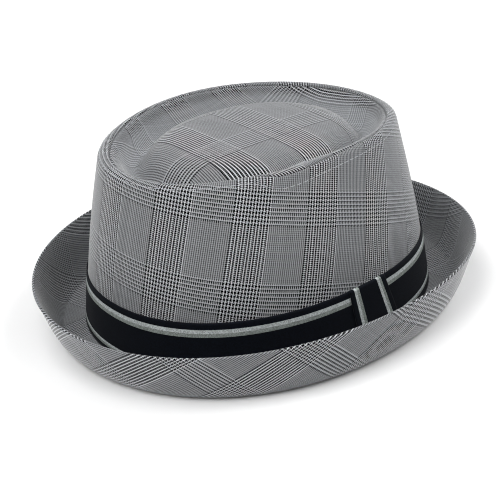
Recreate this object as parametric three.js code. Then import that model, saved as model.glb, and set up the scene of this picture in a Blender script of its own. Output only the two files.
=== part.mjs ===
// Porkpie hat: a hollow checked-cloth crown with a sunk top, an upturned cloth brim and a ribbon band.
// Millimetres. +Z is up, +Y is the back of the hat and +X is the wearer's left.
// The origin is under the middle of the brim, on the surface that the hat rests on.
import * as THREE from "three";

// Crown: the oval of its foot, which takes the head, and the rolled rim that its wall turns over
const FOOT_WIDTH = 179.6;
const FOOT_LENGTH = 213;
const FOOT_HEIGHT = 2.6;
const RIM_WIDTH = 144.8;
const RIM_LENGTH = 182.1;
const RIM_HEIGHT = 107.1;
const RIM_ROLL = 4.7; // radius of the roll, on its outside
const RIM_TILT = 0.7; // the back of the rim stands higher than the front by twice this
const RIM_WAVE = 2.5; // the sides of the rim stand higher than its ends by twice this
const SIDE_FULLNESS = 2; // how far the wall bows out of a straight line, at the sides
const END_FULLNESS = 1.5; // and at the front and back
const CROWN_SHIFT = -3; // the crown sits this far forward of the middle of the brim
const RIM_SHIFT = -0.7; // and the rim this far forward of the foot

// Top of the crown: a flat-topped dome inside a pressed groove
const GROOVE_DEPTH = 19.5; // below the crest of the rim
const DOME_DEPTH = 3.5;
const DOME_BACK = 4.5; // the dome sits this far toward the back of the rim oval
const DOME_RIGHT = 4; // and this far toward the wearer's right
const DOME_TILT = 2; // the dome's right edge stands higher than its left by twice this

// Brim
const BRIM_WIDTH = 236.2;
const BRIM_LENGTH = 278.6;
const BRIM_HEIGHT = 31; // of its edge, on average
const BRIM_TILT = -1.5; // negative: the front edge stands higher than the back
const BRIM_WAVE = 3;
const BRIM_EGG = -0.04; // share by which the brim is wider toward the front

// Ribbon band and the keeper that hides its join
const BAND_HEIGHT = 32.4;
const BAND_WAVE = 0.9;
const BAND_TILT = 0.5;
const KEEPER_FOOT_WIDTH = 34.5;
const KEEPER_TOP_WIDTH = 29;
const KEEPER_BACK = 2.7; // from the middle of the hat to the keeper's middle, at the band's top edge
const KEEPER_LEAN = 7.4; // how much further back its foot is

// Cloth, ribbon and the room left between pieces
const CROWN_CLOTH = 1.6;
const BRIM_CLOTH = 1.6;
const RIBBON = 1;
const GAP = 0.3;

const STEPS = 64; // round each oval
const KEEPER_STEPS = 6;
const degrees = THREE.MathUtils.degToRad;

// The ovals. A squareness of 2 is an ellipse, and a larger one has fuller corners.
const footOval = {
  halfWidth: FOOT_WIDTH / 2,
  halfLength: FOOT_LENGTH / 2,
  egg: 0,
  shift: CROWN_SHIFT,
  height: FOOT_HEIGHT,
  tilt: 0,
  wave: 0,
  squareness: 2.17,
};
const rimOval = {
  halfWidth: RIM_WIDTH / 2 - RIM_ROLL,
  halfLength: RIM_LENGTH / 2 - RIM_ROLL,
  egg: 0,
  shift: CROWN_SHIFT + RIM_SHIFT,
  height: RIM_HEIGHT - RIM_ROLL,
  tilt: RIM_TILT,
  wave: RIM_WAVE,
  squareness: 2.11,
};
const brimOval = {
  halfWidth: BRIM_WIDTH / 2,
  halfLength: BRIM_LENGTH / 2,
  egg: BRIM_EGG,
  shift: 0,
  height: BRIM_HEIGHT,
  tilt: BRIM_TILT,
  wave: BRIM_WAVE,
  squareness: 2.04,
};

// The roll runs from where the wall meets it to the seam, as angles up from the outside
const ROLL_START = degrees(10);
const ROLL_SEAM = degrees(125);
const rollShares = [0, 0.2, 0.4, 0.6, 0.8, 1];
const wallShares = [0, 0.3, 0.65];

// The top's section. inset is a share of the way from the rim oval to its middle, and depth is a
// share of the way from the crest of the rim down to the groove.
const grooveSection = [
  { inset: 0.085, depth: 0.3 },
  { inset: 0.105, depth: 0.56 },
  { inset: 0.13, depth: 0.81 },
  { inset: 0.16, depth: 0.96 },
  { inset: 0.19, depth: 1 },
];
// Past the groove, depth is a share of the way up from the groove to the dome's top
const domeSection = [
  { inset: 0.22, rise: 0.09 },
  { inset: 0.25, rise: 0.33 },
  { inset: 0.285, rise: 0.57 },
  { inset: 0.33, rise: 0.76 },
  { inset: 0.41, rise: 0.9 },
  { inset: 0.55, rise: 0.965 },
  { inset: 0.78, rise: 0.995 },
];
const SHIFT_DONE = 0.25; // inset share at which the top has its whole shift

// The brim's section: a cubic curve from the foot of the band to the edge, in shares of the
// distance out to the edge and of the edge's height. Below the floor it is pressed flat.
const brimCurve = [
  { out: 0, up: 0 },
  { out: 0.74, up: -0.28 },
  { out: 0.78, up: 0.5 },
  { out: 1, up: 1 },
];
const BRIM_ROWS = 12;
const EDGE_ROUND = 0.4; // how far the edge bulges, as a share of the cloth

// Point of an oval at an angle counted from the wearer's left toward the back
function ovalPoint(oval, angle) {
  const cos = Math.cos(angle);
  const sin = Math.sin(angle);
  const halfWidth = oval.halfWidth * (1 + oval.egg * sin);
  const side = Math.pow(Math.abs(cos) / halfWidth, oval.squareness);
  const end = Math.pow(Math.abs(sin) / oval.halfLength, oval.squareness);
  const radius = Math.pow(side + end, -1 / oval.squareness);
  const height = oval.height + oval.tilt * sin + oval.wave * Math.cos(2 * angle);
  return new THREE.Vector3(radius * cos, oval.shift + radius * sin, height);
}

// Level direction that points straight out of an oval
function ovalNormal(oval, angle) {
  const step = 0.01;
  const along = ovalPoint(oval, angle + step).sub(ovalPoint(oval, angle - step));
  return new THREE.Vector3(along.y, -along.x, 0).normalize();
}

// Point of the rolled rim, depth below its outer surface
function rollPoint(angle, rollAngle, depth) {
  const out = ovalNormal(rimOval, angle);
  const radius = RIM_ROLL - depth;
  const point = ovalPoint(rimOval, angle).addScaledVector(out, radius * Math.cos(rollAngle));
  point.z += radius * Math.sin(rollAngle);
  return point;
}

// Point of the crown's wall at a height share, proud of its outer surface by offset
function wallPoint(angle, share, offset) {
  const foot = ovalPoint(footOval, angle);
  const top = rollPoint(angle, ROLL_START, 0);
  const out = ovalNormal(footOval, angle).lerp(ovalNormal(rimOval, angle), share).normalize();
  const side = Math.cos(angle) ** 2;
  const fullness = SIDE_FULLNESS * side + END_FULLNESS * (1 - side);
  const bow = fullness * Math.sin(Math.PI * share);
  return foot.lerp(top, share).addScaledVector(out, bow + offset);
}

// The same at a height in millimetres
function wallPointAt(angle, height, offset) {
  const foot = ovalPoint(footOval, angle).z;
  const top = rollPoint(angle, ROLL_START, 0).z;
  return wallPoint(angle, (height - foot) / (top - foot), offset);
}

const angles = Array.from({ length: STEPS }, (_, step) => (step / STEPS) * 2 * Math.PI);
const ring = (pointAt) => angles.map(pointAt);

// Outward direction at each point of rows of rings, across both ways of the surface
function rowNormals(rows) {
  return rows.map((row, index) =>
    row.map((point, step) => {
      const before = rows[Math.max(index - 1, 0)][step];
      const after = rows[Math.min(index + 1, rows.length - 1)][step];
      const last = row[(step + STEPS - 1) % STEPS];
      const next = row[(step + 1) % STEPS];
      return next.clone().sub(last).cross(after.clone().sub(before)).normalize();
    }),
  );
}

function offsetRows(rows, normals, distance) {
  return rows.map((row, index) =>
    row.map((point, step) => point.clone().addScaledVector(normals[index][step], distance)),
  );
}

function geometryFrom(points, triangles) {
  const geometry = new THREE.BufferGeometry().setFromPoints(points);
  geometry.setIndex(triangles.flat());
  geometry.computeVertexNormals();
  return geometry;
}

// Triangles between neighbouring rows of rings
function ringTriangles(rowCount, closed) {
  const triangles = [];
  const last = closed ? rowCount : rowCount - 1;
  for (let row = 0; row < last; row++) {
    const above = (row + 1) % rowCount;
    for (let step = 0; step < STEPS; step++) {
      const next = (step + 1) % STEPS;
      const a = row * STEPS + step;
      const b = row * STEPS + next;
      const c = above * STEPS + next;
      const d = above * STEPS + step;
      triangles.push([a, b, c], [a, c, d]);
    }
  }
  return triangles;
}

// Hollow ring whose section is the loop of rows
function loopSolid(rows) {
  return geometryFrom(rows.flat(), ringTriangles(rows.length, true));
}

// Dished disc: rows run from the middle of its underside, round its edge, to the middle of its top
function discSolid(rows, under, top) {
  const points = [...rows.flat(), under, top];
  const triangles = ringTriangles(rows.length, false);
  const underIndex = points.length - 2;
  const topIndex = points.length - 1;
  const lastRow = (rows.length - 1) * STEPS;
  for (let step = 0; step < STEPS; step++) {
    const next = (step + 1) % STEPS;
    triangles.push([underIndex, next, step]);
    triangles.push([topIndex, lastRow + step, lastRow + next]);
  }
  return geometryFrom(points, triangles);
}

// Crown wall with its turned-over rim, up to the seam
function makeCrownSide() {
  const rowsAt = (depth) => [
    ...wallShares.map((share) => ring((angle) => wallPoint(angle, share, -depth))),
    ...rollShares.map((share) => {
      const rollAngle = THREE.MathUtils.lerp(ROLL_START, ROLL_SEAM, share);
      return ring((angle) => rollPoint(angle, rollAngle, depth));
    }),
  ];
  return loopSolid([...rowsAt(0), ...rowsAt(CROWN_CLOTH).reverse()]);
}

// Point of the sunk top at an inset share, with the dome's shift and tilt coming in past the wall
function topPoint(angle, inset, depth) {
  const rim = ovalPoint(rimOval, angle);
  const middle = new THREE.Vector3(0, rimOval.shift, rimOval.height);
  const shifted = THREE.MathUtils.smoothstep(inset, 0, SHIFT_DONE);
  const level = THREE.MathUtils.lerp(rim.z, middle.z, shifted);
  const point = rim.lerp(middle, inset);
  const tilt = -DOME_TILT * (point.x / rimOval.halfWidth) * shifted;
  point.x -= DOME_RIGHT * shifted;
  point.y += DOME_BACK * shifted;
  point.z = level + RIM_ROLL - depth + tilt;
  return point;
}

// Sunk top: from the seam over the inside of the rim, down into the groove and up to the dome
function makeCrownTip() {
  const start = ROLL_SEAM + GAP / (RIM_ROLL - CROWN_CLOTH);
  const groove = grooveSection.map(({ inset, depth }) =>
    ring((angle) => topPoint(angle, inset, depth * GROOVE_DEPTH)),
  );
  const dome = domeSection.map(({ inset, rise }) =>
    ring((angle) => topPoint(angle, inset, THREE.MathUtils.lerp(GROOVE_DEPTH, DOME_DEPTH, rise))),
  );
  const seam = ring((angle) => rollPoint(angle, start, 0));
  const seamUnder = ring((angle) => rollPoint(angle, start, CROWN_CLOTH));
  const outer = [seam, ...groove, ...dome];
  const inner = offsetRows(outer, rowNormals(outer), -CROWN_CLOTH);
  inner[0] = seamUnder;
  const top = topPoint(0, 1, DOME_DEPTH);
  const under = top.clone();
  under.z -= CROWN_CLOTH;
  return discSolid([...inner.reverse(), ...outer], under, top);
}

// Underside of the brim at an angle, t from 0 at the foot of the band to 1 at the edge
function brimPoint(angle, t) {
  const base = wallPoint(angle, 0, GAP + RIBBON);
  const edge = ovalPoint(brimOval, angle);
  const weights = [(1 - t) ** 3, 3 * (1 - t) ** 2 * t, 3 * (1 - t) * t * t, t ** 3];
  const sum = (name) => brimCurve.reduce((total, row, k) => total + row[name] * weights[k], 0);
  const start = FOOT_HEIGHT - GAP - BRIM_CLOTH;
  const height = Math.max(0, start * weights[0] + edge.z * sum("up"));
  const point = base.lerp(edge, sum("out"));
  point.z = height;
  return point;
}

// Brim: its inner edge lies under the foot of the crown, and its underside has a flat to rest on
function makeBrim() {
  const inner = ring((angle) => {
    const point = wallPoint(angle, 0, -CROWN_CLOTH);
    point.z = FOOT_HEIGHT - GAP - BRIM_CLOTH;
    return point;
  });
  const shares = Array.from({ length: BRIM_ROWS }, (_, row) => row / (BRIM_ROWS - 1));
  const under = [inner, ...shares.map((t) => ring((angle) => brimPoint(angle, t)))];
  const upper = offsetRows(under, rowNormals(under), -BRIM_CLOTH);
  const last = under.length - 1;
  const edge = under[last].map((point, step) => {
    const along = point.clone().sub(under[last - 1][step]).normalize();
    return point.clone().lerp(upper[last][step], 0.5).addScaledVector(along, EDGE_ROUND * BRIM_CLOTH);
  });
  return loopSolid([...under, edge, ...upper.reverse()]);
}

// Height of the band's top edge
function bandTop(angle) {
  return FOOT_HEIGHT + BAND_HEIGHT + BAND_TILT * Math.sin(angle) + BAND_WAVE * Math.cos(2 * angle);
}

// Ribbon band round the foot of the crown
function makeHatBand() {
  const rowsAt = (offset) => [
    ring((angle) => wallPoint(angle, 0, offset)),
    ring((angle) => wallPointAt(angle, (FOOT_HEIGHT + bandTop(angle)) / 2, offset)),
    ring((angle) => wallPointAt(angle, bandTop(angle), offset)),
  ];
  return loopSolid([...rowsAt(GAP + RIBBON), ...rowsAt(GAP).reverse()]);
}

// Angle, on the wearer's left, at which the band lies this far back
function angleAtBack(back) {
  let low = degrees(-80);
  let high = degrees(80);
  for (let halving = 0; halving < 40; halving++) {
    const middle = (low + high) / 2;
    if (wallPoint(middle, 0, GAP + RIBBON).y < back) low = middle;
    else high = middle;
  }
  return (low + high) / 2;
}

// Closed strip between a front grid and a back grid of the same size
function stripSolid(front, back) {
  const rows = front.length;
  const columns = front[0].length;
  const at = (side, row, column) => side * rows * columns + row * columns + column;
  const triangles = [];
  const quad = (a, b, c, d) => triangles.push([a, b, c], [a, c, d]);
  for (let row = 0; row < rows - 1; row++) {
    for (let column = 0; column < columns - 1; column++) {
      const [r, c] = [row + 1, column + 1];
      quad(at(0, row, column), at(0, row, c), at(0, r, c), at(0, r, column));
      quad(at(1, row, column), at(1, r, column), at(1, r, c), at(1, row, c));
    }
    const end = columns - 1;
    quad(at(0, row, 0), at(0, row + 1, 0), at(1, row + 1, 0), at(1, row, 0));
    quad(at(0, row, end), at(1, row, end), at(1, row + 1, end), at(0, row + 1, end));
  }
  for (let column = 0; column < columns - 1; column++) {
    const end = rows - 1;
    quad(at(0, 0, column), at(1, 0, column), at(1, 0, column + 1), at(0, 0, column + 1));
    quad(at(0, end, column), at(0, end, column + 1), at(1, end, column + 1), at(1, end, column));
  }
  return geometryFrom([...front.flat(), ...back.flat()], triangles);
}

// Keeper: a short ribbon up the front of the band and over its top edge to the crown
function makeBandKeeper() {
  const bandFace = GAP + RIBBON;
  const columns = Array.from({ length: KEEPER_STEPS + 1 }, (_, column) => column / KEEPER_STEPS - 0.5);
  const row = (share, raise, offset) =>
    columns.map((across) => {
      const width = THREE.MathUtils.lerp(KEEPER_FOOT_WIDTH, KEEPER_TOP_WIDTH, share);
      const back = KEEPER_BACK + KEEPER_LEAN * (1 - share) + width * across;
      const angle = angleAtBack(back);
      const height = THREE.MathUtils.lerp(FOOT_HEIGHT, bandTop(angle), share) + raise;
      return wallPointAt(angle, height, offset);
    });
  const keeperBack = bandFace + GAP;
  const keeperFace = keeperBack + RIBBON;
  const keeperTop = GAP + RIBBON;
  const front = [
    row(0, 0, keeperFace),
    row(0.5, 0, keeperFace),
    row(1, keeperTop - RIBBON / 2, keeperFace),
    row(1, keeperTop, keeperFace - RIBBON / 2),
    row(1, keeperTop, GAP),
  ];
  const back = [
    row(0, 0, keeperBack),
    row(0.5, 0, keeperBack),
    row(1, GAP / 2, keeperBack),
    row(1, GAP, keeperBack - GAP / 2),
    row(1, GAP, GAP),
  ];
  return stripSolid(front, back);
}

const checkedCloth = new THREE.MeshStandardMaterial({ color: "#868a8c", roughness: 0.95, metalness: 0 });
const blackRibbon = new THREE.MeshStandardMaterial({ color: "#171b22", roughness: 0.8, metalness: 0 });

function addPiece(group, name, geometry, material) {
  const mesh = new THREE.Mesh(geometry, material);
  mesh.name = name;
  group.add(mesh);
}

const hat = new THREE.Group();
addPiece(hat, "crown_side", makeCrownSide(), checkedCloth);
addPiece(hat, "crown_tip", makeCrownTip(), checkedCloth);
addPiece(hat, "brim", makeBrim(), checkedCloth);
addPiece(hat, "hat_band", makeHatBand(), blackRibbon);
addPiece(hat, "band_keeper", makeBandKeeper(), blackRibbon);

export default hat;
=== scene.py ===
import math

import bpy
import numpy as np
from mathutils import Matrix, Vector


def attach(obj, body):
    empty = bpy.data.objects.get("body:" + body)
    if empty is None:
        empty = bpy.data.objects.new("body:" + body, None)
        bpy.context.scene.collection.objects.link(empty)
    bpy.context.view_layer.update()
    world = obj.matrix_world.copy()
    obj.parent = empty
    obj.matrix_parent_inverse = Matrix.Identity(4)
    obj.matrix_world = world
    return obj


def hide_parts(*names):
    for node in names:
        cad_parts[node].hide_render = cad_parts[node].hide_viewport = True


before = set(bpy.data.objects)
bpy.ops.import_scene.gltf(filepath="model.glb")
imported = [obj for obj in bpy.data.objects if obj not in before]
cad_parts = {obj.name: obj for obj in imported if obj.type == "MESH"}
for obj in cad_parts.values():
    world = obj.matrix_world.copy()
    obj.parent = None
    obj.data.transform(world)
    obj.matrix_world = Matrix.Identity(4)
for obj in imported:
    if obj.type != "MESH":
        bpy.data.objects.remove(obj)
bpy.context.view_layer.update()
print("frame loaded:", ", ".join(sorted(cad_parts)))

# Everything is worked out in millimetres, +Z up and +Y to the back of the hat, and put into meshes in metres.
# An angle goes round the hat from the wearer's left (+X) over the back (+Y).
millimetre = 0.001
turn = 2 * math.pi
degree = math.pi / 180
up = np.array([0.0, 0.0, 1.0])
stepsRound = 480  # points in each ring

camera = dict(
    place=(490.2, -396.6, 337.8),
    lookAt=(0.0, -2.96, 30.0),
    roll=-3.338,
    sensor=36,
    lens=84.55,
    shiftX=-0.01526,
    shiftY=-0.00495,
    clipEnd=20,           # metres
)


def linearFromHex(hexColour):
    # each sRGB channel c becomes c/12.92 below 0.04045, else ((c + 0.055) / 1.055) ** 2.4
    channels = [int(hexColour[k:k + 2], 16) / 255 for k in (1, 3, 5)]
    linear = [c / 12.92 if c <= 0.04045 else ((c + 0.055) / 1.055) ** 2.4 for c in channels]
    return (*linear, 1.0)


def addObject(name, data):
    made = bpy.data.objects.new(name, data)
    bpy.context.scene.collection.objects.link(made)
    return made


def makeCamera():
    # the camera's back axis points from what it looks at to its own place, and roll turns it about that axis
    data = bpy.data.cameras.new("photoCamera")
    data.sensor_width = camera["sensor"]
    data.lens = camera["lens"]
    data.shift_x = camera["shiftX"]
    data.shift_y = camera["shiftY"]
    data.clip_end = camera["clipEnd"]
    place = Vector(camera["place"]) * millimetre
    back = (place - Vector(camera["lookAt"]) * millimetre).normalized()
    right = Vector((-back.y, back.x, 0)).normalized()
    above = back.cross(right)
    roll = camera["roll"] * degree
    axisX = right * math.cos(roll) + above * math.sin(roll)
    axisY = above * math.cos(roll) - right * math.sin(roll)
    made = addObject("photoCamera", data)
    made.matrix_world = Matrix((axisX, axisY, back)).transposed().to_4x4()
    made.matrix_world.translation = place
    bpy.context.scene.camera = made


makeCamera()
print("camera placed")

# The ovals that the hat is built on. A squareness of 2 is an ellipse, and a larger one has fuller corners.
# Egg is how much wider it is toward the back, tilt how much higher its back is, and wave its sides.
footOval = dict(
    halfWidth=89.8, halfLength=106.5, egg=0, shift=-3,
    height=2.6, tilt=0, wave=0, squareness=2.17,
)
rimOval = dict(
    halfWidth=67.7, halfLength=86.35, egg=0, shift=-3.7,
    height=102.4, tilt=0.7, wave=2.5, squareness=2.11,
)
brimOval = dict(
    halfWidth=118.1, halfLength=139.3, egg=-0.04, shift=0,
    height=31, tilt=-1.5, wave=3, squareness=2.04,
)


def ovalPoint(oval, angle):
    # radius = (|cos/halfWidth|^n + |sin/halfLength|^n)^(-1/n), height = height + tilt sin + wave cos(2 angle)
    cos, sin = np.cos(angle), np.sin(angle)
    power = oval["squareness"]
    halfWidth = oval["halfWidth"] * (1 + oval["egg"] * sin)
    radius = (np.abs(cos / halfWidth) ** power + np.abs(sin / oval["halfLength"]) ** power) ** (-1 / power)
    height = oval["height"] + oval["tilt"] * sin + oval["wave"] * np.cos(2 * angle)
    return np.stack([radius * cos, oval["shift"] + radius * sin, height], -1)


def ovalNormal(oval, angle):
    # level direction square to the oval, pointing out
    along = ovalPoint(oval, angle + 0.01) - ovalPoint(oval, angle - 0.01)
    out = np.stack([along[..., 1], -along[..., 0], np.zeros_like(along[..., 0])], -1)
    return out / np.linalg.norm(out, axis=-1, keepdims=True)


def blend(low, high, value):
    # smooth step from 0 at low to 1 at high
    share = np.clip((value - low) / (high - low), 0, 1)
    return share * share * (3 - 2 * share)


def unevenness(angle, along, phase):
    # sum of slow waves round the hat and up its cloth, about 1 at its highest
    waves = 0.45 * np.sin(3 * angle + 0.021 * along + phase)
    waves += 0.33 * np.sin(7 * angle - 0.034 * along + 2.1 * phase)
    waves += 0.22 * np.sin(13 * angle + 0.06 * along - 1.3 * phase)
    return waves


crown = dict(
    rimRoll=4.7,          # radius of the turned-over rim, on its outside
    rollStart=10,         # degrees up from level where the wall meets the roll
    sideFullness=2,       # how far the wall bows out of a straight line, at the sides
    endFullness=1.5,      # and at the front and back
    cloth=1.5,            # stiffened cloth
    uneven=0.22,          # how far the pressed cloth strays from its form
    seamDip=0.9,          # how deep the seam between side and tip pulls in
    seamWidth=0.7,
    puckers=62,           # stitches that pull, round the seam
    pucker=0.1,
    puckerReach=3,        # distance from the seam at which the pull has mostly gone
    seamShadowWidth=0.45,        # half the width of the painted shadow line in the seam
    wallLength=100,       # about, from the foot to the roll
    outerRows=(56, 34),   # on the wall and on the roll
    innerRows=(20, 10),
    rowPower=0.9,         # below 1, the roll's rows lie closer toward the seam
)
# Degrees round the hat, and degrees over the roll at which the seam to the tip lies there.
# On the left side it was pressed onto the outside of the rim.
seamPlaces = np.array([
    (-120, 126), (-60, 124), (-42, 120), (-37, 98), (-33, 60), (-28, 34), (-20, 35),
    (-10, 50), (0, 60), (15, 70), (30, 77), (38, 90), (48, 108), (60, 119),
    (80, 120), (100, 124), (120, 133), (150, 122), (180, 112), (215, 108),
])


def seamAngle(angle):
    # the listed places joined round the hat, then eased with a moving average about 5 degrees wide
    grid = np.arange(0, 360, 0.5)
    along = np.interp(grid, seamPlaces[:, 0], seamPlaces[:, 1], period=360)
    soft = np.hanning(15)
    soft /= soft.sum()
    padded = np.concatenate([along[-7:], along, along[:7]])
    eased = np.convolve(padded, soft, mode="valid")
    return np.interp(np.degrees(angle), grid, eased, period=360) * degree


def rollPoint(angle, rollAngle, depth):
    # rim oval + (roll radius - depth) (cos(roll) out + sin(roll) up)
    reach = (crown["rimRoll"] - depth)[..., None]
    out = ovalNormal(rimOval, angle) * np.cos(rollAngle)[..., None]
    return ovalPoint(rimOval, angle) + reach * (out + up * np.sin(rollAngle)[..., None])


def wallPoint(angle, share, offset):
    # straight from the foot oval to the roll, bowed out by fullness sin(pi share), and offset square to it
    angle, share, offset = np.broadcast_arrays(angle, share, offset)
    foot = ovalPoint(footOval, angle)
    top = rollPoint(angle, np.full(angle.shape, crown["rollStart"] * degree), np.zeros(angle.shape))
    out = ovalNormal(footOval, angle) * (1 - share)[..., None]
    out = out + ovalNormal(rimOval, angle) * share[..., None]
    out /= np.linalg.norm(out, axis=-1, keepdims=True)
    side = np.cos(angle) ** 2
    bow = (crown["sideFullness"] * side + crown["endFullness"] * (1 - side)) * np.sin(math.pi * share)
    return foot + (top - foot) * share[..., None] + out * (bow + offset)[..., None]


def wallPointAt(angle, height, offset):
    # the same at a height in millimetres
    foot = ovalPoint(footOval, angle)[..., 2]
    start = np.full(np.shape(angle), crown["rollStart"] * degree)
    top = rollPoint(angle, start, np.zeros(np.shape(angle)))[..., 2]
    return wallPoint(angle, (height - foot) / (top - foot), offset)


def lengthAlong(points, axis):
    # running length of a grid of points along one axis, starting at 0
    steps = np.linalg.norm(np.diff(points, axis=axis), axis=-1)
    start = np.zeros_like(np.take(steps, [0], axis=axis))
    return np.concatenate([start, np.cumsum(steps, axis=axis)], axis=axis)


def gridNormals(points):
    # across both ways of a grid whose columns go once round the hat and whose last column repeats the first
    rings = points[:, :-1]
    along = np.roll(rings, -1, axis=1) - np.roll(rings, 1, axis=1)
    upward = np.gradient(rings, axis=0)
    out = np.cross(along, upward)
    out /= np.linalg.norm(out, axis=-1, keepdims=True) + 1e-12
    return np.concatenate([out, out[:, :1]], axis=1)


def easeRows(points, passes):
    # each pass moves a row to a quarter, a half and a quarter of itself and its neighbours
    for _ in range(passes):
        points[1:-1] = 0.25 * points[:-2] + 0.5 * points[1:-1] + 0.25 * points[2:]
    return points


def refineRows(rows, spacing):
    # adds rows by length along the middle column, so that none is further than spacing from the next
    length = lengthAlong(rows, 0).mean(axis=1)
    wanted = np.linspace(0, length[-1], int(length[-1] / spacing) + 2)
    place = np.interp(wanted, length, np.arange(len(length)))
    low = np.minimum(place.astype(int), len(rows) - 2)
    share = (place - low)[:, None, None]
    return rows[low] * (1 - share) + rows[low + 1] * share


noTriangles = np.zeros((0, 3), int)


def addMesh(name, points, quads, triangles, clothMap, marks=None):
    # clothMap holds one (u, v) for each corner of the quads and then of the triangles,
    # and marks has named arrays with a number for each point
    mesh = bpy.data.meshes.new(name)
    mesh.vertices.add(len(points))
    mesh.vertices.foreach_set("co", (points * millimetre).astype(np.float32).ravel())
    corners = np.concatenate([quads.ravel(), triangles.ravel()])
    sizes = np.concatenate([np.full(len(quads), 4), np.full(len(triangles), 3)])
    mesh.loops.add(len(corners))
    mesh.loops.foreach_set("vertex_index", corners.astype(np.int32))
    mesh.polygons.add(len(sizes))
    starts = np.concatenate([[0], np.cumsum(sizes)[:-1]])
    mesh.polygons.foreach_set("loop_start", starts.astype(np.int32))
    mesh.polygons.foreach_set("use_smooth", np.ones(len(sizes), bool))
    uvLayer = mesh.uv_layers.new(name="cloth")
    uvLayer.uv.foreach_set("vector", clothMap.astype(np.float32).ravel())
    for markName, values in (marks or {}).items():
        mark = mesh.attributes.new(markName, "FLOAT", "POINT")
        mark.data.foreach_set("value", values.astype(np.float32))
    mesh.update(calc_edges=True)
    mesh.validate()
    return addObject(name, mesh)


def ringMesh(name, rows, lowMap, highMap, closed, poles=None, marks=None):
    # rows of rings, each with its first point repeated at its end. closed joins the last row to the first.
    # Each belt of faces between two rows has its own (u, v) along its low and its high side.
    # poles holds a point and its (u, v) for before the first row and for after the last.
    # marks holds a number for each point of the rows, or for each row.
    count, steps = rows.shape[0], rows.shape[1] - 1
    points = rows[:, :-1].reshape(-1, 3)
    last = count if closed else count - 1
    row, step = np.meshgrid(np.arange(last), np.arange(steps), indexing="ij")
    above, after = (row + 1) % count, (step + 1) % steps
    lowRing, highRing = row * steps, above * steps
    quads = np.stack([lowRing + step, lowRing + after, highRing + after, highRing + step], -1)
    corners = [lowMap[row, step], lowMap[row, step + 1], highMap[row, step + 1], highMap[row, step]]
    quadMap = np.stack(corners, 2).reshape(-1, 2)
    triangles, poleMap = noTriangles, np.zeros((0, 2))
    if poles:
        lone = np.arange(steps)
        following = (lone + 1) % steps
        end = (count - 1) * steps
        firstPole, lastPole = len(points), len(points) + 1
        points = np.concatenate([points, [poles[0][0], poles[1][0]]])
        low = np.stack([np.full(steps, firstPole), following, lone], -1)
        high = np.stack([np.full(steps, lastPole), end + lone, end + following], -1)
        triangles = np.concatenate([low, high])
        firstMap = np.stack([np.tile(poles[0][1], (steps, 1)), lowMap[0, 1:], lowMap[0, :-1]], 1)
        lastMap = np.stack([np.tile(poles[1][1], (steps, 1)), highMap[-1, :-1], highMap[-1, 1:]], 1)
        poleMap = np.concatenate([firstMap, lastMap]).reshape(-1, 2)
    flatMarks = {}
    for markName, grid in (marks or {}).items():
        values = np.broadcast_to(grid, rows.shape[:2])[:, :-1].ravel()
        flatMarks[markName] = np.concatenate([values, np.zeros(len(points) - len(values))])
    cornerMap = np.concatenate([quadMap, poleMap])
    return addMesh(name, points, quads.reshape(-1, 4), triangles, cornerMap, flatMarks)


# Rings start and end at the back of the hat, where the cloth has its joins
around = np.linspace(0, turn, stepsRound + 1) + turn / 4


def threadMap(across, along, layout):
    # place in millimetres on the flat cloth, turned into numbers of upright threads and of cross threads
    warp = (across - layout["warpStart"]) / layout["warpPitch"]
    weft = (along - layout["weftStart"]) / layout["weftPitch"]
    return np.stack([warp, weft], -1)


# Side of the crown: a cone-shaped band of cloth with its join at the back
sideCloth = dict(
    coneRadius=772.8,     # radius of the foot when the band is laid flat
    grainLine=-59.6,      # where the warp stands upright, from the front toward the wearer's left
    warpStart=78.8,       # first thread of a lined part, in millimetres from the grain line
    warpPitch=0.2892,     # millimetres from one thread to the next
    weftStart=95.35,
    weftPitch=0.2678,
)


def sideMap(fromFront, height):
    # flat cone: (radius - height) sin(bend) across and radius - (radius - height) cos(bend) up,
    # with bend = length round the foot / radius
    bend = (fromFront - sideCloth["grainLine"]) / sideCloth["coneRadius"]
    radius = sideCloth["coneRadius"] - height
    return threadMap(radius * np.sin(bend), sideCloth["coneRadius"] - radius * np.cos(bend), sideCloth)


def seamDepth(distance):
    # how deep the cloth lies at a distance from the seam, a bell of seamDip by seamWidth
    return crown["seamDip"] * np.exp(-(distance / crown["seamWidth"]) ** 2)


def crownSideRows(depth, rows):
    # the wall from foot to roll, then over the roll to the seam, depth under the outer face
    rowsUp, rowsRound = rows
    share = np.linspace(0, 1, rowsUp)[:-1, None]
    angle = around[None, :]
    wall = wallPoint(angle, share, -depth)
    seam = seamAngle(around)[None, :]
    start = crown["rollStart"] * degree
    over = np.linspace(0, 1, rowsRound)[:, None] ** crown["rowPower"]
    rollAngle = start + (seam - start) * over
    toSeam = (seam - rollAngle) * crown["rimRoll"]
    pull = crown["pucker"] * np.cos(crown["puckers"] * angle) * np.exp(-toSeam / crown["puckerReach"])
    roll = rollPoint(np.broadcast_to(angle, rollAngle.shape), rollAngle, depth + seamDepth(toSeam) + pull)
    farOff = np.full(wall.shape[:2], crown["wallLength"])
    return np.concatenate([wall, roll]), np.concatenate([farOff, toSeam])


def seamShadowMark(distance):
    # a bell that is 1 in the seam and about 0 a millimetre from it, marking the painted shadow in the seam
    return np.exp(-(distance / crown["seamShadowWidth"]) ** 2)


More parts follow.
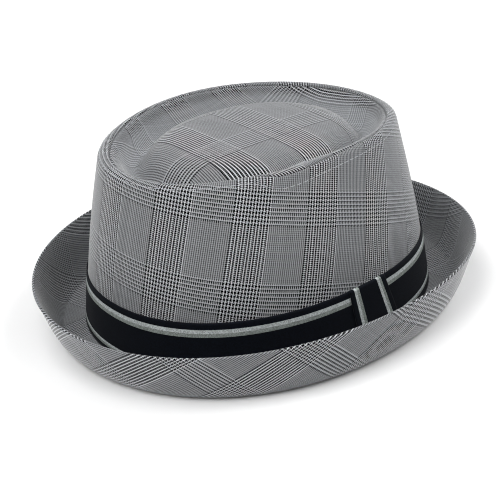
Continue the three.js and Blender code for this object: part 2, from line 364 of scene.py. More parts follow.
def makeCrownSide():
    outer, toSeam = crownSideRows(0.0, crown["outerRows"])
    inner, _ = crownSideRows(crown["cloth"], crown["innerRows"])
    height = lengthAlong(outer, 0)
    strays = crown["uneven"] * unevenness(around[None, :], height, 0.7)
    fading = np.sin(math.pi * np.clip(height / height[-1:], 0, 1))
    outer += gridNormals(outer) * strays[..., None] * fading[..., None]
    fromFront = lengthAlong(outer[:1], 1)
    fromFront = fromFront - fromFront[:, -1:] / 2
    outerMap = sideMap(fromFront, height)
    innerMap = sideMap(fromFront, lengthAlong(inner, 0))
    rows = np.concatenate([outer, inner[::-1]])
    clothMap = np.concatenate([outerMap, innerMap[::-1], outerMap[:1]])
    seam = np.concatenate([seamShadowMark(toSeam), np.zeros(inner.shape[:2])])
    return ringMesh("crownSide", rows, clothMap[:-1], clothMap[1:], True, None, {"seam": seam})


crownSide = makeCrownSide()
print("crown side made")

# Top of the crown: a flat-topped dome inside a pressed groove
tip = dict(
    rollEnd=128,          # degrees over the roll where the groove's wall begins
    leastRoll=8,          # degrees of the roll that the tip covers at the least
    domeDepth=3.5,        # of its middle below the crest of the rim
    domeBack=4.5,         # how far the dome lies to the back of the rim's middle,
    domeRight=4,          # and to the wearer's right
    domeTilt=2,
    shiftDone=0.25,       # share of the way in by which the dome has its own place and tilt
    cloth=1.5,
    uneven=0.2,
    spacing=0.8,          # between rows
    calmEnds=(12, 30),    # millimetres from the seam and from the flat top in which the unevenness grows
    puckerPhase=1.5,      # radians by which its puckers are out of step with the side's
    easing=30,            # passes
    rollRows=16,
    innerSteps=3,         # the inside has every third row
    pressedFrom=(3, 9),   # depths below the crest of the rim between which the painted light on the groove's wall begins
    pressedTo=(-3, 4),    # and millimetres past the bottom of the groove between which it ends
    brightest=141,          # degrees round the hat where the painted light is strongest, on the far wall that faces the camera,
    brighter=0.5,           # and by what share more than on average
    linesFade=(-5, 45),   # millimetres toward that side between which the dome's lines fade,
    fade=0.9,             # and by how much
)
# Rows of the section: share of the way in from the rim oval, and depth below the crest of the rim
tipSection = np.array([
    (0.085, 5.85), (0.105, 10.9), (0.13, 15.8), (0.16, 18.7), (0.19, 19.5), (0.22, 18.1), (0.25, 14.2),
    (0.285, 10.4), (0.33, 7.3), (0.41, 5.1), (0.55, 4.1), (0.78, 3.6), (0.97, 3.5),
])
tipCloth = dict(
    warpStart=-45.2,
    warpPitch=0.3007,
    weftStart=-15.7,
    weftPitch=0.2528,
    takenUp=(5, 40, 9.2),     # between the first two distances to the right, the groove takes up the third
    drawnBetween=(46, 88),    # distances from the middle between which the cloth is drawn back
)
# How far the pressed groove has drawn the cloth toward the back by the time that it meets the seam
tipDrawn = np.array([
    (-80, 4), (-60, 6), (-39, 6.5), (-21, 3), (0, -1.4), (15, -7.5), (30, -8),
    (60, -5), (83, -2), (89, 0), (99, 4), (107, 8), (117, 11.5), (128, 15),
    (145, 19), (178, 18.6), (194, 18.7), (211, 19), (222, 12.5), (240, 8),
])


def tipMap(angle, radius):
    # the section rolled out flat from its middle,
    # with the upright threads counted to the back and the cross ones to the right
    side = ovalPoint(rimOval, angle)[..., :2] - np.array([0, rimOval["shift"]])
    side /= np.linalg.norm(side, axis=-1, keepdims=True)
    drawn = np.interp(np.degrees(angle) % 360, tipDrawn[:, 0] % 360, tipDrawn[:, 1], period=360)
    drawn = drawn * blend(*tipCloth["drawnBetween"], radius)
    toBack = rimOval["shift"] + tip["domeBack"] + side[..., 1] * radius + drawn
    toRight = tip["domeRight"] - side[..., 0] * radius
    start, end, taken = tipCloth["takenUp"]
    return threadMap(toBack, toRight - taken * np.clip((toRight - start) / (end - start), 0, 1), tipCloth)


def topPoint(angle, inset, depth):
    # from the rim oval in to its middle, with the dome's own place and tilt coming in past the groove's wall
    angle, inset, depth = np.broadcast_arrays(angle, inset, depth)
    rim = ovalPoint(rimOval, angle)
    middle = np.array([0, rimOval["shift"], rimOval["height"]])
    shifted = blend(0, tip["shiftDone"], inset)
    point = rim + (middle - rim) * inset[..., None]
    tilt = -tip["domeTilt"] * (point[..., 0] / rimOval["halfWidth"]) * shifted
    level = rim[..., 2] + (middle[2] - rim[..., 2]) * shifted
    x = point[..., 0] - tip["domeRight"] * shifted
    y = point[..., 1] + tip["domeBack"] * shifted
    return np.stack([x, y, level + crown["rimRoll"] - depth + tilt], -1)


def tipRows():
    # from the seam over the roll, down into the groove and up to the dome, eased like pressed cloth
    seam = seamAngle(around)[None, :]
    over = np.linspace(0, 1, tip["rollRows"])[:, None]
    rollAngle = seam + np.maximum(tip["rollEnd"] * degree - seam, tip["leastRoll"] * degree) * over
    angle = np.broadcast_to(around[None, :], rollAngle.shape)
    roll = rollPoint(angle, rollAngle, np.zeros(rollAngle.shape))
    top = topPoint(around[None, :], tipSection[:, :1], tipSection[:, 1:])
    # every second row is kept after the easing
    rows = refineRows(np.concatenate([roll, top]), tip["spacing"] / 2)
    return easeRows(rows, tip["easing"])[::2]


def makeCrownTip():
    outer = tipRows()
    length = lengthAlong(outer, 0)
    normals = gridNormals(outer)
    angle = around[None, :]
    pull = crown["pucker"] * np.cos(crown["puckers"] * angle + tip["puckerPhase"])
    dip = seamDepth(length) + pull * np.exp(-length / crown["puckerReach"])
    swell = tip["uneven"] * unevenness(angle, length, 2.3)
    nearSeam, nearTop = tip["calmEnds"]
    swell = swell * blend(0, nearSeam, length) * blend(0, nearTop, length[-1:] - length)
    step = tip["innerSteps"]
    inner = outer[::step] - normals[::step] * tip["cloth"]
    outer = outer + normals * (swell - dip)[..., None]
    middle = topPoint(0.0, 1.0, tip["domeDepth"])
    toMiddle = np.linalg.norm(outer[-1:, :, :2] - middle[:2], axis=-1)
    outerMap = tipMap(np.broadcast_to(around, length.shape), length[-1:] - length + toMiddle)
    poleMap = tipMap(0.0, 0.0)
    under = middle - up * tip["cloth"]
    rows = np.concatenate([inner[::-1], outer])
    clothMap = np.concatenate([outerMap[::step][::-1], outerMap])
    seam = np.concatenate([np.zeros(inner.shape[:2]), seamShadowMark(length)])
    # painted light makes the wall between the rim and the bottom of the groove paler, strongest on one side
    brightest = tip["brightest"] * degree
    depth = ovalPoint(rimOval, around)[:, 2] + crown["rimRoll"] - outer[..., 2]
    bottom = np.take_along_axis(length, np.argmax(depth, axis=0)[None], axis=0)
    pressed = blend(*tip["pressedFrom"], depth) * (1 - blend(*tip["pressedTo"], length - bottom))
    pressed = pressed * (1 + tip["brighter"] * np.cos(around - brightest))
    pressed = np.concatenate([np.zeros(inner.shape[:2]), pressed])
    # the dome's lines fade toward that side
    toBrightest = rows[..., 0] * math.cos(brightest) + rows[..., 1] * math.sin(brightest)
    lines = np.maximum(1 - tip["fade"] * blend(*tip["linesFade"], toBrightest), np.minimum(pressed, 1))
    marks = {"seam": seam, "pressed": pressed, "lines": lines}
    poles = ((under, poleMap), (middle, poleMap))
    return ringMesh("crownTip", rows, clothMap[:-1], clothMap[1:], False, poles, marks)


crownTip = makeCrownTip()
print("crown tip made")

# A row of stitches below the rim holds the seam's turned edges flat
rimStitches = dict(
    belowSeam=6.5,
    count=128,
    shown=0.7,            # of each stitch's pitch
    thread=0.17,          # half its thickness
    rise=1.1,             # of its middle, in half thicknesses
    sunk=0.45,            # how deep its ends lie, in the same
    steps=8,              # along each stitch
    colour="#a9acaf",
    roughness=0.85,
    specular=0.2,
)


def besideSeam(angle, distance, lift):
    # back from the seam by a distance, down the roll and on down the wall, lifted off the cloth
    rollAngle = seamAngle(angle) - distance / crown["rimRoll"]
    start = crown["rollStart"] * degree
    roll = rollPoint(angle, np.maximum(rollAngle, start), -lift)
    share = 1 - np.maximum(start - rollAngle, 0) * crown["rimRoll"] / crown["wallLength"]
    return np.where((rollAngle > start)[..., None], roll, wallPoint(angle, share, lift))


def makeRimStitches():
    # each stitch is a six-sided thread that rises from the cloth and dips back in, by rise sin(pi share)
    zero = np.zeros_like(around)
    length = lengthAlong(besideSeam(around, rimStitches["belowSeam"] + zero, zero)[None], 1)[0]
    count, steps, sides = rimStitches["count"], rimStitches["steps"], 6
    pitch = length[-1] / count
    share = np.linspace(0, 1, steps + 1)
    place = np.arange(count)[:, None] * pitch + share * pitch * rimStitches["shown"]
    bend = np.arange(sides) * turn / sides
    angle, bend = np.broadcast_arrays(np.interp(place, length, around)[..., None], bend)
    radius = rimStitches["thread"]
    rising = rimStitches["rise"] * np.sin(math.pi * share)[None, :, None]
    lift = radius * (np.sin(bend) + rising - rimStitches["sunk"])
    points = besideSeam(angle, rimStitches["belowSeam"] + radius * np.cos(bend), lift)
    stitch, ring, side = np.meshgrid(np.arange(count), np.arange(steps), np.arange(sides), indexing="ij")
    size = (steps + 1) * sides
    first = stitch * size + ring * sides
    after = (side + 1) % sides
    following = first + sides
    walls = np.stack([first + side, following + side, following + after, first + after], -1).reshape(-1, 4)
    # two quads close each end of the six-sided thread
    end = size - sides
    nearEnd = [(0, 1, 2, 3), (0, 3, 4, 5)]
    farEnd = [(end + 3, end + 2, end + 1, end), (end + 5, end + 4, end + 3, end)]
    caps = (np.arange(count)[:, None, None] * size + np.array(nearEnd + farEnd)).reshape(-1, 4)
    quads = np.concatenate([walls, caps])
    threadMapping = np.stack([np.broadcast_to(place[..., None], angle.shape), bend], -1).reshape(-1, 2)
    return addMesh("rimStitches", points.reshape(-1, 3), quads, noTriangles, threadMapping[quads.ravel()])


rimStitchPiece = makeRimStitches()
print("stitches made")

# Brim: two layers of cloth turned up all the way round
brim = dict(
    cloth=1.5,
    clearance=0.3,        # under the foot of the crown
    ribbon=1.0,
    outShares=(0, 0.74, 0.78, 1),
    upShares=(0, -0.28, 0.5, 1),
    rows=46,
    easing=2,             # passes
    edgeRows=9,
    edgeBulge=0.8,        # of a half round
)
# The underside is cut on the cross, as a nearly straight strip.
# Its length is that of the brim half way out, drawn in.
underCloth = dict(
    turned=39.7,
    drawn=0.882,
    middleRow=25,         # row of the brim that is half way out
    zero=-45,             # degrees round the hat, and
    halfWay=25,           # millimetres out from the inner edge, at the middle of the flat strip
    warpStart=-51.3,
    warpPitch=0.277,
    weftStart=-12.5,
    weftPitch=0.2342,
    stretched=(0, 45, 26),    # between the first two, in degrees round the hat, by the third in millimetres
)
# The upper face is cut as a flat ring, with the warp running to the back
upperCloth = dict(drawn=0.75, warpStart=36, warpPitch=0.285, weftStart=127.5, weftPitch=0.2395)


def brimPoint(angle, along):
    # cubic curve from the foot of the band to the brim's edge, pressed flat where it would pass the floor
    base = wallPoint(angle, 0.0, brim["clearance"] + brim["ribbon"])
    edge = ovalPoint(brimOval, angle)
    weights = [(1 - along) ** 3, 3 * (1 - along) ** 2 * along, 3 * (1 - along) * along ** 2, along ** 3]
    out = sum(share * weight for share, weight in zip(brim["outShares"], weights))
    rise = sum(share * weight for share, weight in zip(brim["upShares"], weights))
    start = footOval["height"] - brim["clearance"] - brim["cloth"]
    height = np.maximum(0, start * weights[0] + edge[..., 2] * rise)
    point = base + (edge - base) * out[..., None]
    point[..., 2] = height
    return point


def stripMap(along, out):
    # along the strip and out across it, turned on the cloth
    turned = underCloth["turned"] * degree
    across = along * math.cos(turned) + out * math.sin(turned)
    upward = along * math.sin(turned) - out * math.cos(turned)
    return threadMap(upward, across, underCloth)


def flatRingMap(out):
    # the foot oval moved outward
    outward = ovalNormal(footOval, around)[:, :2] * (out * upperCloth["drawn"])[..., None]
    flat = ovalPoint(footOval, around)[:, :2] + outward
    return threadMap(flat[..., 0], flat[..., 1], upperCloth)


def makeBrim():
    angle = around[None, :]
    shape = (brim["rows"], stepsRound + 1)
    along = np.linspace(0, 1, brim["rows"])[:, None]
    inner = wallPoint(angle, np.zeros((1, 1)), -brim["cloth"])
    inner[..., 2] = footOval["height"] - brim["clearance"] - brim["cloth"]
    under = brimPoint(np.broadcast_to(angle, shape), np.broadcast_to(along, shape))
    under = easeRows(np.concatenate([inner, under]), brim["easing"])
    normals = gridNormals(under)
    length = lengthAlong(under, 0)
    upper = under - normals * brim["cloth"]
    # the edge is nearly a half round between the two faces
    last = under[-1:] - under[-2:-1]
    last /= np.linalg.norm(last, axis=-1, keepdims=True)
    bend = np.linspace(0, math.pi, brim["edgeRows"])[1:-1, None, None]
    half = brim["cloth"] / 2
    centre = (under[-1:] + upper[-1:]) / 2
    edge = centre + normals[-1:] * half * np.cos(bend) + last * half * brim["edgeBulge"] * np.sin(bend)
    rounded = np.concatenate([under, edge, upper[-1:]])
    roundedLength = lengthAlong(rounded, 0)
    middle = underCloth["middleRow"]
    middleRow = lengthAlong(under[middle:middle + 1], 1)
    zero = np.interp(underCloth["zero"] * degree + turn, around, middleRow[0])
    low, high, stretched = underCloth["stretched"]
    given = stretched * np.clip((np.degrees(around) % 360 - low) / (high - low), 0, 1) * (around > turn)
    strip = (middleRow - zero) * underCloth["drawn"] - given
    underMap = stripMap(strip, roundedLength - underCloth["halfWay"])
    upperMap = flatRingMap(length)
    rows = np.concatenate([rounded, upper[:-1][::-1]])
    lowMap = np.concatenate([underMap[:-1], upperMap[::-1]])
    highMap = np.concatenate([underMap[1:], upperMap[:-1][::-1], upperMap[:1]])
    # the brim's upper face is marked for painted shade, and its lines are not raised
    paintedShade = np.concatenate([np.zeros(len(rounded) - 1), np.ones(len(upper))])[:, None]
    return ringMesh("brimCloth", rows, lowMap, highMap, True, None, {"paintedShade": paintedShade, "lines": 1 - paintedShade})


brimPiece = makeBrim()
print("brim made")

# Ribbon band round the foot of the crown
band = dict(
    height=32.4,
    tilt=0.5,
    wave=0.9,
    clearance=0.3,
    ribbon=0.7,
    uneven=0.12,
    rows=26,
)


def bandTop(angle):
    # top edge of the ribbon: foot + height + tilt sin + wave cos(2 angle)
    level = footOval["height"] + band["height"]
    return level + band["tilt"] * np.sin(angle) + band["wave"] * np.cos(2 * angle)


def makeHatBand():
    angle = np.broadcast_to(around[None, :], (band["rows"], stepsRound + 1))
    share = np.broadcast_to(np.linspace(0, 1, band["rows"])[:, None], angle.shape)
    height = footOval["height"] + (bandTop(angle) - footOval["height"]) * share
    lift = band["uneven"] * unevenness(angle, height * 2, 1.9)
    face = wallPointAt(angle, height, band["clearance"] + band["ribbon"] + lift)
    back = wallPointAt(angle, height, np.full(angle.shape, band["clearance"]))
    middle = band["rows"] // 2
    lengthRound = lengthAlong(face[middle:middle + 1], 1)
    below = bandTop(angle) - height
    ribbonMap = np.stack([np.broadcast_to(lengthRound, angle.shape), below], -1)
    rows = np.concatenate([face, back[::-1]])
    clothMap = np.concatenate([ribbonMap, ribbonMap[::-1], ribbonMap[:1]])
    return ringMesh("hatBand", rows, clothMap[:-1], clothMap[1:], True)


hatBand = makeHatBand()
print("band made")

# Keeper: a short piece of the same ribbon up the band's face and over its top edge,
# gathered a little at the top
keeper = dict(
    footWidth=34.5,
    topWidth=29,
    back=2.7,             # how far back its middle is, at the band's top edge
    lean=7.4,             # how much further back its foot is
    ribbon=0.7,
    clearance=0.25,
    overTop=0.3,          # how high it stands over the band's top edge, outside
    underTop=0.05,        # and inside
    tucked=0.8,           # of the band's clearance, where its back ends
    ribbonWidth=33,
    columns=41,
    rows=30,
    foldRows=6,
)


def angleAtBack(back):
    # angle on the wearer's left at which the band's face lies this far back
    angle = np.linspace(-80 * degree, 80 * degree, 2001)
    place = wallPoint(angle, 0.0, band["clearance"] + band["ribbon"])[:, 1]
    return np.interp(back, place, angle)


def makeKeeper():
    across = np.linspace(-0.5, 0.5, keeper["columns"])[None, :]
    share = np.linspace(0, 1, keeper["rows"])[:, None]
    bandFace = band["clearance"] + band["ribbon"]

    def strip(share, lift, offset):
        width = keeper["footWidth"] + (keeper["topWidth"] - keeper["footWidth"]) * share
        back = keeper["back"] + keeper["lean"] * (1 - share) + width * across
        angle = angleAtBack(back)
        height = footOval["height"] + (bandTop(angle) - footOval["height"]) * share + lift
        return wallPointAt(angle, height, offset + 0 * angle)

    inside = bandFace + keeper["clearance"]
    outside = inside + keeper["ribbon"]
    face = strip(share, 0 * share, np.full_like(share, outside))
    bend = np.linspace(0, math.pi / 2, keeper["foldRows"])[1:, None]
    ones = np.ones_like(bend)
    folded = band["clearance"] + (outside - band["clearance"]) * np.cos(bend)
    over = strip(ones, keeper["overTop"] * np.sin(bend), folded)
    front = np.concatenate([face, over])
    backFace = strip(share, 0 * share, np.full_like(share, inside))
    tucked = band["clearance"] * keeper["tucked"] + (inside - band["clearance"]) * np.cos(bend)
    backOver = strip(ones, keeper["underTop"] * np.sin(bend), tucked)
    behind = np.concatenate([backFace, backOver])
    rowCount, columnCount = front.shape[:2]
    points = np.concatenate([front.reshape(-1, 3), behind.reshape(-1, 3)])
    length = lengthAlong(front, 0)
    ribbonMap = np.stack([length, keeper["ribbonWidth"] * (across + 0.5) + 0 * length], -1)
    row, column = np.meshgrid(np.arange(rowCount - 1), np.arange(columnCount - 1), indexing="ij")
    # faces of the outside and the inside, then of the two sides, the foot and the head
    a = row * columnCount + column
    b, c, d = a + 1, a + columnCount + 1, a + columnCount
    size = rowCount * columnCount
    faces = [np.stack([a, b, c, d], -1).reshape(-1, 4), np.stack([a, d, c, b], -1).reshape(-1, 4) + size]
    side = np.arange(rowCount - 1) * columnCount
    end = side + columnCount - 1
    faces.append(np.stack([side, side + columnCount, side + columnCount + size, side + size], -1))
    faces.append(np.stack([end, end + size, end + columnCount + size, end + columnCount], -1))
    foot = np.arange(columnCount - 1)
    head = foot + (rowCount - 1) * columnCount
    faces.append(np.stack([foot, foot + size, foot + 1 + size, foot + 1], -1))
    faces.append(np.stack([head, head + 1, head + 1 + size, head + size], -1))
    quads = np.concatenate(faces)
    flatMap = np.concatenate([ribbonMap.reshape(-1, 2)] * 2)
    return addMesh("bandKeeper", points, quads, noTriangles, flatMap[quads.ravel()])


bandKeeper = makeKeeper()
print("keeper made")


def setInputs(tree, node, inputs):
    # an input takes a value, a socket, or a node's first output
    for name, value in inputs.items():
        if isinstance(value, bpy.types.Node):
            value = value.outputs[0]
        if isinstance(value, bpy.types.NodeSocket):
            tree.links.new(value, node.inputs[name])
        else:
            node.inputs[name].default_value = value


def addNode(tree, kind, settings={}, inputs={}):
    node = tree.nodes.new("ShaderNode" + kind)
    for name, value in settings.items():
        setattr(node, name, value)
    setInputs(tree, node, inputs)
    return node


# settings of the math nodes that come most often
multiply = {"operation": "MULTIPLY"}
wholePart = {"operation": "FLOOR"}
remainder = {"operation": "FLOORED_MODULO"}


def newMaterial(name):
    material = bpy.data.materials.new(name)
    material.use_nodes = True
    tree = material.node_tree
    return material, tree, tree.nodes["Principled BSDF"]


# Worsted glen check: wool threads in a two-up two-down twill. Near by the eye sees fine black and off-white
# lines, and from afar a soft matt grey.
# A group holds so many threads, of which so many are dark and come first.
clothLook = dict(
    warp=dict(repeat=148, lined=72, group=(6, 4)),    # of a repeat's threads, the lined ones come first
    weft=dict(repeat=184, lined=72, group=(8, 4)),
    groundGroup=(4, 2),
    ground=(0.0, 0.63),   # how light the ground's darker and paler threads are, from dark to light
    twillStart=1,         # which of the four steps of the twill the first threads meet in
    dark="#06070a",
    light="#d6d9dd",
    calm=(0.38, 0.3),     # where ground crosses ground: how far the threads go to one tone, and that tone
    weftLight=0.66,       # how light the weft's palest threads are beside the warp's
    paintedShade=(0.3, 0.25),    # upper face of the brim in painted shade: how far its threads go to one darker tone, and that tone
    pressed=0.27,         # how far painted light makes the groove's wall paler
    lines=0.55,           # tip and brim: how far ground threads over a lined one take its tone
    seamShadow=0.6,
    shade=(0.8, 1.12),    # spun wool differs a little from thread to thread
    weftGap=0.13,         # of a thread's width on either side of the weft, where the warp shows through
    valleyShade=0.45,          # how light the cloth stays in the painted shade between two threads
    threadBump=0.25,
    threadHeight=0.0001,  # metres
    roughness=0.92,
    sheen=0.5,
    sheenRoughness=0.35,
    specular=0.15,
)


def addThreads(tree, place, threads):
    # number of the thread at a place, its tone, and 1 where it is lined
    repeat, lined = threads["repeat"], threads["lined"]
    size, dark = threads["group"]
    groundSize, groundDark = clothLook["groundGroup"]
    low, high = clothLook["ground"]
    number = addNode(tree, "Math", wholePart, {0: place})
    inRepeat = addNode(tree, "Math", remainder, {0: number, 1: repeat})
    isLined = addNode(tree, "Math", {"operation": "LESS_THAN"}, {0: inRepeat, 1: lined - 0.5})
    groupSize = addNode(tree, "Mix", {}, {0: isLined, 2: groundSize, 3: size})
    inGroup = addNode(tree, "Math", remainder, {0: inRepeat, 1: groupSize})
    lastDark = addNode(tree, "Mix", {}, {0: isLined, 2: groundDark - 0.5, 3: dark - 0.5})
    isLight = addNode(tree, "Math", {"operation": "GREATER_THAN"}, {0: inGroup, 1: lastDark})
    darkTone = addNode(tree, "Mix", {}, {0: isLined, 2: low, 3: 0.0})
    lightTone = addNode(tree, "Mix", {}, {0: isLined, 2: high, 3: 1.0})
    tone = addNode(tree, "Mix", {}, {0: isLight, 2: darkTone, 3: lightTone})
    return number, tone, isLined


def makeCheckedCloth():
    material, tree, shader = newMaterial("worstedGlenCheck")
    clothMap = addNode(tree, "UVMap", {"uv_map": "cloth"})
    split = addNode(tree, "SeparateXYZ", {}, {0: clothMap})
    warp, weft = split.outputs[0], split.outputs[1]
    marks = {}
    for name in ("lines", "pressed", "paintedShade", "seam"):
        marks[name] = addNode(tree, "Attribute", {"attribute_name": name}).outputs["Fac"]
    warpNumber, warpTone, warpLined = addThreads(tree, warp, clothLook["warp"])
    weftNumber, fullTone, weftLined = addThreads(tree, weft, clothLook["weft"])
    weftLight, weftGap = clothLook["weftLight"], clothLook["weftGap"]
    weftTone = addNode(tree, "Math", {"operation": "MINIMUM"}, {0: fullTone, 1: weftLight})

    # the warp lies over where (warp + weft + start) mod 4 is below 2
    crossing = addNode(tree, "Math", {"operation": "ADD"}, {0: warpNumber, 1: weftNumber})
    shifted = addNode(tree, "Math", {"operation": "ADD"}, {0: crossing, 1: clothLook["twillStart"]})
    step = addNode(tree, "Math", remainder, {0: shifted, 1: 4.0})
    warpOver = addNode(tree, "Math", {"operation": "LESS_THAN"}, {0: step, 1: 1.5})
    weftOver = addNode(tree, "Math", {"operation": "SUBTRACT"}, {0: 1.0, 1: warpOver})
    warpRound = addNode(tree, "Math", {"operation": "PINGPONG"}, {0: warp, 1: 0.5})
    weftRound = addNode(tree, "Math", {"operation": "PINGPONG"}, {0: weft, 1: 0.5})
    weftFull = addNode(tree, "Math", {"operation": "GREATER_THAN"}, {0: weftRound, 1: weftGap})
    weftShown = addNode(tree, "Math", multiply, {0: weftOver, 1: weftFull})
    twillTone = addNode(tree, "Mix", {}, {0: weftShown, 2: warpTone, 3: weftTone})

    # where one of the two is lined, its lines were pressed up between the other's threads
    difference = addNode(tree, "Math", {"operation": "SUBTRACT"}, {0: warpLined, 1: weftLined})
    oneLined = addNode(tree, "Math", {"operation": "ABSOLUTE"}, {0: difference})
    raisedLines = addNode(tree, "Math", multiply, {0: marks["lines"], 1: oneLined})
    lining = addNode(tree, "Math", multiply, {0: raisedLines, 1: clothLook["lines"]})
    linedTone = addNode(tree, "Mix", {}, {0: weftLined, 2: warpTone, 3: weftTone})
    overTone = addNode(tree, "Mix", {}, {0: lining, 2: twillTone, 3: linedTone})

    # ground on ground is calmer, the groove's wall paler with painted light, the brim's upper face darker and
    # duller with painted shade
    calm, calmTone = clothLook["calm"]
    fade, shadeTone = clothLook["paintedShade"]
    anyLined = addNode(tree, "Math", {"operation": "MAXIMUM"}, {0: warpLined, 1: weftLined})
    calming = addNode(tree, "Mix", {}, {0: anyLined, 2: calm, 3: 0.0})
    wovenTone = addNode(tree, "Mix", {}, {0: calming, 2: overTone, 3: calmTone})
    wallLighting = addNode(tree, "Math", multiply, {0: marks["pressed"], 1: clothLook["pressed"]})
    pressedTone = addNode(tree, "Mix", {}, {0: wallLighting, 2: wovenTone, 3: 1.0})
    # painted shade on the brim's upper face
    fading = addNode(tree, "Math", multiply, {0: marks["paintedShade"], 1: fade})
    tone = addNode(tree, "Mix", {}, {0: fading, 2: pressedTone, 3: shadeTone})
    dark, light = linearFromHex(clothLook["dark"]), linearFromHex(clothLook["light"])
    colour = addNode(tree, "Mix", {"data_type": "RGBA"}, {0: tone, 6: dark, 7: light}).outputs[2]

    # each thread has its own shade, and is round: highest along its middle, with painted shade in the valley
    # beside it
    lowShade, highShade = clothLook["shade"]
    warpShade = addNode(tree, "TexWhiteNoise", {"noise_dimensions": "1D"}, {"W": warpNumber})
    weftShade = addNode(tree, "TexWhiteNoise", {"noise_dimensions": "1D"}, {"W": weftNumber})
    shade = addNode(tree, "Mix", {}, {0: weftShown, 2: warpShade, 3: weftShade})
    strength = addNode(tree, "MapRange", {}, {0: shade, 3: lowShade, 4: highShade})
    relief = addNode(tree, "Mix", {}, {0: warpOver, 2: weftRound, 3: warpRound})
    valleyShade = addNode(tree, "MapRange", {}, {0: relief, 2: 0.25, 3: clothLook["valleyShade"], 4: 1.0})
    # painted shadow darkens the cloth along the seam
    seamShare = {0: marks["seam"], 1: -clothLook["seamShadow"], 2: 1.0}
    seamShade = addNode(tree, "Math", {"operation": "MULTIPLY_ADD"}, seamShare)
    thread = addNode(tree, "Math", multiply, {0: strength, 1: valleyShade})
    whole = addNode(tree, "Math", multiply, {0: thread, 1: seamShade})
    shaded = addNode(tree, "VectorMath", {"operation": "SCALE"}, {0: colour, "Scale": whole})
    threads = {"Strength": clothLook["threadBump"], "Distance": clothLook["threadHeight"], "Height": relief}
    bump = addNode(tree, "Bump", {}, threads)
    setInputs(tree, shader, {
        "Base Color": shaded,
        "Normal": bump,
        "Roughness": clothLook["roughness"],
        "Sheen Weight": clothLook["sheen"],
        "Sheen Roughness": clothLook["sheenRoughness"],
        "Specular IOR Level": clothLook["specular"],
    })
    return material


# Grosgrain ribbon: blue-black woven rayon, nearly matt, with fine ribs across it that give a faint grain.
# Each of its two pale stripes is half light, half darker.
ribbonLook = dict(
    width=34,             # millimetres, over which the stripes are placed
    rib=0.55,
    ribBump=0.5,
    ribHeight=0.00015,    # metres
    black="#060a12",
    stripeLight="#b4baba",
    stripeDark="#858c88",
    bandStripes=((3.5, 7.75), (25.7, 28.4)),    # millimetres below the top edge
    keeperStripes=((3.5, 7.9), (24.6, 28.9)),   # millimetres from its front edge
    shade=(0.65, 1.35),   # from one crossing of rib and yarn to the next
    roughness=0.75,
    sheen=0.03,
    specular=0.08,
)


def makeRibbon(name, acrossStripes):
    material, tree, shader = newMaterial(name)
    ribbonMap = addNode(tree, "UVMap", {"uv_map": "cloth"})
    split = addNode(tree, "SeparateXYZ", {}, {0: ribbonMap})
    along, across = split.outputs[0], split.outputs[1]
    width = ribbonLook["width"]
    share = addNode(tree, "Math", {"operation": "DIVIDE"}, {0: across, 1: width})
    ramp = addNode(tree, "ValToRGB", {}, {0: share})
    stops = ramp.color_ramp.elements
    ramp.color_ramp.interpolation = "CONSTANT"
    stops[0].position = 0
    stops[0].color = linearFromHex(ribbonLook["black"])
    stops.remove(stops[1])
    for low, high in acrossStripes:
        for place, tone in ((low, "stripeLight"), ((low + high) / 2, "stripeDark"), (high, "black")):
            stops.new(place / width).color = linearFromHex(ribbonLook[tone])

    # ribs and the yarns along the ribbon each have a number, and each crossing its own shade
    lowShade, highShade = ribbonLook["shade"]
    rib = addNode(tree, "Math", {"operation": "DIVIDE"}, {0: along, 1: ribbonLook["rib"]})
    yarn = addNode(tree, "Math", {"operation": "DIVIDE"}, {0: across, 1: ribbonLook["rib"]})
    ribNumber = addNode(tree, "Math", wholePart, {0: rib})
    yarnNumber = addNode(tree, "Math", wholePart, {0: yarn})
    crossing = addNode(tree, "CombineXYZ", {}, {0: ribNumber, 1: yarnNumber})
    chance = addNode(tree, "TexWhiteNoise", {"noise_dimensions": "2D"}, {"Vector": crossing})
    strength = addNode(tree, "MapRange", {}, {0: chance, 3: lowShade, 4: highShade})
    shaded = addNode(tree, "VectorMath", {"operation": "SCALE"}, {0: ramp, "Scale": strength})
    rounded = addNode(tree, "Math", {"operation": "PINGPONG"}, {0: rib, 1: 0.5})
    ribs = {"Strength": ribbonLook["ribBump"], "Distance": ribbonLook["ribHeight"], "Height": rounded}
    bump = addNode(tree, "Bump", {}, ribs)
    setInputs(tree, shader, {
        "Base Color": shaded,
        "Normal": bump,
        "Roughness": ribbonLook["roughness"],
        "Sheen Weight": ribbonLook["sheen"],
        "Specular IOR Level": ribbonLook["specular"],
    })
    return material


def makeThread():
    # pale grey sewing thread of spun polyester, matt, which shows as small pale dashes
    material, tree, shader = newMaterial("sewingThread")
    setInputs(tree, shader, {
        "Base Color": linearFromHex(rimStitches["colour"]),
        "Roughness": rimStitches["roughness"],
        "Specular IOR Level": rimStitches["specular"],
    })
    return material


checkedCloth = makeCheckedCloth()
bandRibbon = makeRibbon("stripedGrosgrain", ribbonLook["bandStripes"])
keeperRibbon = makeRibbon("keeperGrosgrain", ribbonLook["keeperStripes"])
for piece in (crownSide, crownTip, brimPiece):
    piece.data.materials.append(checkedCloth)
hatBand.data.materials.append(bandRibbon)
bandKeeper.data.materials.append(keeperRibbon)
rimStitchPiece.data.materials.append(makeThread())
print("materials made")

for piece, node, slot in (
    (crownSide, "crown_side", "checked_cloth"),
    (crownTip, "crown_tip", "checked_cloth"),
    (brimPiece, "brim", "checked_cloth"),
    (hatBand, "hat_band", "band_ribbon"),
    (bandKeeper, "band_keeper", "band_ribbon"),
):
    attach(piece, "root")
    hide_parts(node)
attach(rimStitchPiece, "root")


# One floor of pale matt paper, far wider than the view
stage = dict(
    reach=6.0,            # metres each way
    colour="#f6f6f6",
    roughness=0.9,
    glow=(0.45, 0.9),     # metres out, between which the camera sees it grow as bright as the backdrop
)


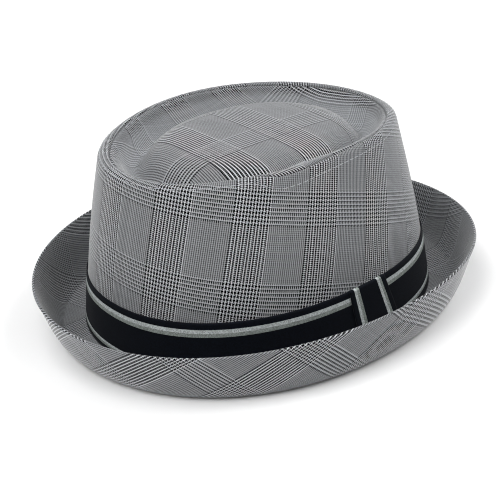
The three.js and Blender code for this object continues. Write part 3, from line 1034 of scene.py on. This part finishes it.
def makeStage():
    mesh = bpy.data.meshes.new("floor")
    reach = stage["reach"]
    corners = [(-reach, -reach, 0), (reach, -reach, 0), (reach, reach, 0), (-reach, reach, 0)]
    mesh.from_pydata(corners, [], [(0, 1, 2, 3)])
    floor = addObject("floor", mesh)
    material, tree, shader = newMaterial("palePaper")
    near, far = stage["glow"]
    place = addNode(tree, "TexCoord").outputs["Object"]
    away = addNode(tree, "VectorMath", {"operation": "LENGTH"}, {0: place}).outputs["Value"]
    glow = addNode(tree, "MapRange", {}, {0: away, 1: near, 2: far})
    seen = addNode(tree, "LightPath").outputs["Is Camera Ray"]
    strength = addNode(tree, "Math", multiply, {0: glow, 1: seen})
    setInputs(tree, shader, {
        "Base Color": linearFromHex(stage["colour"]),
        "Roughness": stage["roughness"],
        "Emission Color": (1, 1, 1, 1),
        "Emission Strength": strength,
    })
    floor.data.materials.append(material)


# Large soft lamps round the hat: degrees from the camera's side, degrees up, watts
lights = dict(
    distance=1.6,
    size=1.0,
    aim=(0, 0, 0.05),
    cameraSide=-38.8,
    lamps=(
        ("backRight", 150, 12, 9.0),
        ("backLeft", -150, 12, 11.8),
        ("frontLeft", -50, 45, 14.4),
        ("frontRight", 50, 45, 6.5),
        ("right", 100, 45, 13.5),
        ("top", -40, 72, 12.5),
        ("frontLow", 5, 10, 1.5),
    ),
    background=1.0,       # seen by the camera alone
    pixelFilter=1.1,
)


def makeLights():
    aim = Vector(lights["aim"])
    for name, turned, raised, power in lights["lamps"]:
        data = bpy.data.lights.new(name + "Softbox", "AREA")
        data.size = lights["size"]
        data.energy = power
        heading = (lights["cameraSide"] + turned) * degree
        raised *= degree
        level = math.cos(raised)
        toward = Vector((math.cos(heading) * level, math.sin(heading) * level, math.sin(raised)))
        lamp = addObject(name + "Softbox", data)
        lamp.location = aim + toward * lights["distance"]
        lamp.rotation_euler = toward.to_track_quat("Z", "Y").to_euler()
    world = bpy.data.worlds.new("paleStudio")
    world.use_nodes = True
    tree = world.node_tree
    seen = addNode(tree, "LightPath").outputs["Is Camera Ray"]
    strength = addNode(tree, "Math", multiply, {0: seen, 1: lights["background"]})
    setInputs(tree, tree.nodes["Background"], {0: (1, 1, 1, 1), 1: strength})
    bpy.context.scene.world = world
    bpy.context.scene.view_settings.view_transform = "Standard"
    # a sharper pixel filter keeps the fine threads crisp
    bpy.context.scene.cycles.filter_width = lights["pixelFilter"]


makeStage()
makeLights()
print("stage and lights made")
